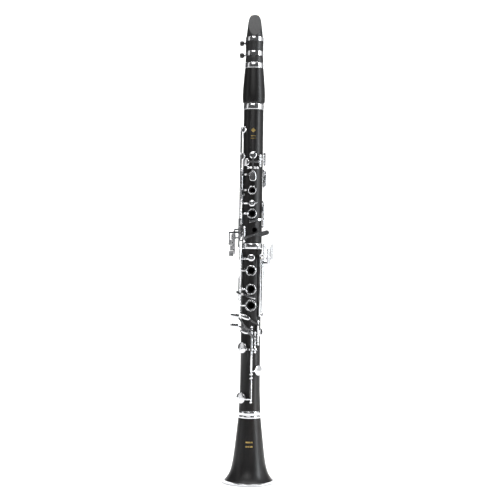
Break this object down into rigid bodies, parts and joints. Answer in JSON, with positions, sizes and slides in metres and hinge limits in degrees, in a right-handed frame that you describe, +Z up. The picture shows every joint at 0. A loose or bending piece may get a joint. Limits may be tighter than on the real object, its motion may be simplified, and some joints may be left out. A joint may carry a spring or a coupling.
{
  "type": "soprano clarinet",
  "caption": "Straight black wooden clarinet with silver ring-and-lever keywork, a flared bell, a barrel and a reed mouthpiece, standing on its bell.",
  "frame": {"origin": "middle of the bell's mouth, on the plane that the bell rests on", "axes": "+Z up the bore to the mouthpiece tip, -Y out of the finger holes, +X to the right of someone facing them"},
  "size_m": [0.0776, 0.0776, 0.6668],
  "materials": {
    "wood": "satin, fine straight grain, near black",
    "silver": "bright silver plate",
    "steel": "blued needle springs",
    "gilt": "gilt marks",
    "cork": "natural cork",
    "pad": "pale skin pads",
    "ebonite": "polished black ebonite",
    "cane": "pale cane",
    "knob": "black knobs"
  },
  "bodies": {
    "body": {"bell": "wood", "bell_rim_ring": "silver", "lower_joint": "wood", "upper_joint": "wood", "socket_rings": "silver", "tenon_corks": "cork", "key_posts": "silver", "hinge_rods": "silver", "key_springs": "steel", "thumb_tube": "silver", "register_tube": "silver", "emblems": "gilt", "thumb_rest_plate": "silver"},
    "barrel": {"barrel": "wood", "barrel_rings": "silver", "mouthpiece": "ebonite", "mouthpiece_cork": "cork", "reed": "cane", "ligature": "silver"},
    "upper_screw": {"ligature_screw_upper": "knob"},
    "lower_screw": {"ligature_screw_lower": "knob"},
    "thumb_rest": {"thumb_rest": "silver"},
    "rest_screw": {"thumb_rest_screw": "silver"},
    "register": {"register_key": "silver", "register_pad": "pad"},
    "thumb_ring": {"thumb_ring_key": "silver"},
    "throat_a": {"throat_a_key": "silver", "throat_a_pad": "pad"},
    "throat_g_sharp": {"throat_g_sharp_key": "silver", "throat_g_sharp_pad": "pad"},
    "side_1": {"side_key_1": "silver", "side_pad_1": "pad"},
    "side_2": {"side_key_2": "silver", "side_pad_2": "pad"},
    "side_3": {"side_key_3": "silver", "side_pad_3": "pad"},
    "side_4": {"side_key_4": "silver", "side_pad_4": "pad"},
    "first_ring": {"first_ring_key": "silver", "first_ring_pad": "pad"},
    "second_ring": {"second_ring_key": "silver", "second_ring_pad": "pad"},
    "sliver": {"sliver_key": "silver", "sliver_pad": "pad"},
    "c_sharp": {"c_sharp_key": "silver", "c_sharp_pad": "pad"},
    "lower_rings": {"lower_ring_key": "silver", "lower_ring_pad": "pad"},
    "banana": {"banana_key": "silver", "banana_pad": "pad"},
    "low_e": {"low_e_key": "silver", "low_e_pad": "pad"},
    "low_f": {"low_f_key": "silver", "low_f_pad": "pad"},
    "low_f_sharp": {"low_f_sharp_key": "silver", "low_f_sharp_pad": "pad"},
    "a_flat": {"a_flat_key": "silver"},
    "left_e": {"left_e_lever": "silver"},
    "left_f_sharp": {"left_f_sharp_lever": "silver"},
    "left_f": {"left_f_lever": "silver"}
  },
  "joints": [
    {"name": "barrel_tuning", "type": "slide", "parent": "body", "child": "barrel", "axis": [0, 0, 1], "range_m": [0, 0.003]},
    {"name": "upper_screw_turn", "type": "hinge", "parent": "barrel", "child": "upper_screw", "pos_m": [-0.01, 0.0153, 0.627], "axis": [1, 0, 0], "continuous": true},
    {"name": "lower_screw_turn", "type": "hinge", "parent": "barrel", "child": "lower_screw", "pos_m": [-0.01, 0.0153, 0.6096], "axis": [1, 0, 0], "continuous": true},
    {"name": "thumb_rest_slide", "type": "slide", "parent": "body", "child": "thumb_rest", "axis": [0, 0, 1], "range_m": [-0.006, 0.006]},
    {"name": "rest_screw_turn", "type": "hinge", "parent": "thumb_rest", "child": "rest_screw", "pos_m": [0.007, 0.01735, 0.285], "axis": [1, 0, 0], "continuous": true},
    {"name": "register_lever", "type": "hinge", "parent": "body", "child": "register", "pos_m": [0, 0.0182, 0.47], "axis": [-1, 0, 0], "range_deg": [0, 4], "stiffness_Nm_per_rad": 0.02, "springref_deg": -25},
    {"name": "thumb_ring_press", "type": "hinge", "parent": "body", "child": "thumb_ring", "pos_m": [0.0087, 0.01507, 0.424], "axis": [0, 0, 1], "range_deg": [0, 8], "stiffness_Nm_per_rad": 0.02, "springref_deg": -25},
    {"name": "throat_a_lever", "type": "hinge", "parent": "body", "child": "throat_a", "pos_m": [0, -0.0182, 0.4465], "axis": [1, 0, 0], "range_deg": [0, 7], "stiffness_Nm_per_rad": 0.02, "springref_deg": -25},
    {"name": "throat_g_sharp_lever", "type": "hinge", "parent": "body", "child": "throat_g_sharp", "pos_m": [0.01023, -0.01408, 0.4567], "axis": [0, 0, 1], "range_deg": [0, 9], "stiffness_Nm_per_rad": 0.02, "springref_deg": -25},
    {"name": "side_lever_1", "type": "hinge", "parent": "body", "child": "side_1", "pos_m": [-0.01723, 0.00242, 0.45], "axis": [0, 0, -1], "range_deg": [0, 9], "stiffness_Nm_per_rad": 0.02, "springref_deg": -30},
    {"name": "side_lever_2", "type": "hinge", "parent": "body", "child": "side_2", "pos_m": [-0.01736, -0.00121, 0.42], "axis": [0, 0, -1], "range_deg": [0, 10], "stiffness_Nm_per_rad": 0.02, "springref_deg": -30},
    {"name": "side_lever_3", "type": "hinge", "parent": "body", "child": "side_3", "pos_m": [-0.01635, 0.00595, 0.41], "axis": [0, 0, 1], "range_deg": [0, 10], "stiffness_Nm_per_rad": 0.02, "springref_deg": -30},
    {"name": "side_lever_4", "type": "hinge", "parent": "body", "child": "side_4", "pos_m": [-0.01476, 0.00922, 0.39], "axis": [0, 0, 1], "range_deg": [0, 10], "stiffness_Nm_per_rad": 0.02, "springref_deg": -30},
    {"name": "first_ring_press", "type": "hinge", "parent": "body", "child": "first_ring", "pos_m": [-0.01536, -0.00817, 0.42], "axis": [0, 0, 1], "range_deg": [0, 4.5], "stiffness_Nm_per_rad": 0.02, "springref_deg": -25},
    {"name": "second_ring_press", "type": "hinge", "parent": "body", "child": "second_ring", "pos_m": [-0.01536, -0.00817, 0.385], "axis": [0, 0, 1], "range_deg": [0, 4.5], "stiffness_Nm_per_rad": 0.02, "springref_deg": -25},
    {"name": "sliver_lever", "type": "hinge", "parent": "body", "child": "sliver", "pos_m": [0.0159, -0.00708, 0.38], "axis": [0, 0, -1], "range_deg": [0, 6], "stiffness_Nm_per_rad": 0.02, "springref_deg": -25},
    {"name": "c_sharp_lever", "type": "hinge", "parent": "body", "child": "c_sharp", "pos_m": [-0.01095, -0.01352, 0.352], "axis": [0, 0, 1], "range_deg": [0, 8], "stiffness_Nm_per_rad": 0.02, "springref_deg": -25},
    {"name": "lower_rings_press", "type": "hinge", "parent": "body", "child": "lower_rings", "pos_m": [-0.01536, -0.00817, 0.285], "axis": [0, 0, 1], "range_deg": [0, 4.5], "stiffness_Nm_per_rad": 0.02, "springref_deg": -25},
    {"name": "banana_lever", "type": "hinge", "parent": "body", "child": "banana", "pos_m": [-0.01731, -0.00182, 0.276], "axis": [0, 0, 1], "range_deg": [0, 6], "stiffness_Nm_per_rad": 0.02, "springref_deg": -25},
    {"name": "low_e_press", "type": "hinge", "parent": "body", "child": "low_e", "pos_m": [0.00152, -0.01733, 0.17], "axis": [0, 0, -1], "range_deg": [0, 9], "stiffness_Nm_per_rad": 0.03, "springref_deg": -25},
    {"name": "low_f_press", "type": "hinge", "parent": "body", "child": "low_f", "pos_m": [0.00624, -0.01624, 0.2], "axis": [0, 0, -1], "range_deg": [0, 7.5], "stiffness_Nm_per_rad": 0.03, "springref_deg": -25},
    {"name": "low_f_sharp_lever", "type": "hinge", "parent": "body", "child": "low_f_sharp", "pos_m": [0.00152, -0.01733, 0.185], "axis": [0, 0, -1], "range_deg": [0, 8], "stiffness_Nm_per_rad": 0.03, "springref_deg": -25},
    {"name": "a_flat_lever", "type": "hinge", "parent": "body", "child": "a_flat", "pos_m": [0.01047, -0.0139, 0.213], "axis": [0, 0, -1], "range_deg": [0, 9], "stiffness_Nm_per_rad": 0.02, "springref_deg": -25},
    {"name": "left_e_press", "type": "hinge", "parent": "body", "child": "left_e", "pos_m": [0.0123, -0.0123, 0.28], "axis": [0, 0, 1], "range_deg": [0, 9], "stiffness_Nm_per_rad": 0.02, "springref_deg": -25},
    {"name": "left_f_sharp_press", "type": "hinge", "parent": "body", "child": "left_f_sharp", "pos_m": [0.01522, -0.00844, 0.28], "axis": [0, 0, 1], "range_deg": [0, 8], "stiffness_Nm_per_rad": 0.02, "springref_deg": -25},
    {"name": "left_f_press", "type": "hinge", "parent": "body", "child": "left_f", "pos_m": [0.01702, -0.00362, 0.28], "axis": [0, 0, 1], "range_deg": [0, 7.5], "stiffness_Nm_per_rad": 0.02, "springref_deg": -25}
  ],
  "couplings": [
    {"joint": "thumb_ring_press", "follows": "first_ring_press", "ratio": 1.7778},
    {"joint": "left_e_press", "follows": "low_e_press", "ratio": 1},
    {"joint": "left_f_sharp_press", "follows": "low_f_sharp_lever", "ratio": 1},
    {"joint": "left_f_press", "follows": "low_f_press", "ratio": 1}
  ]
}
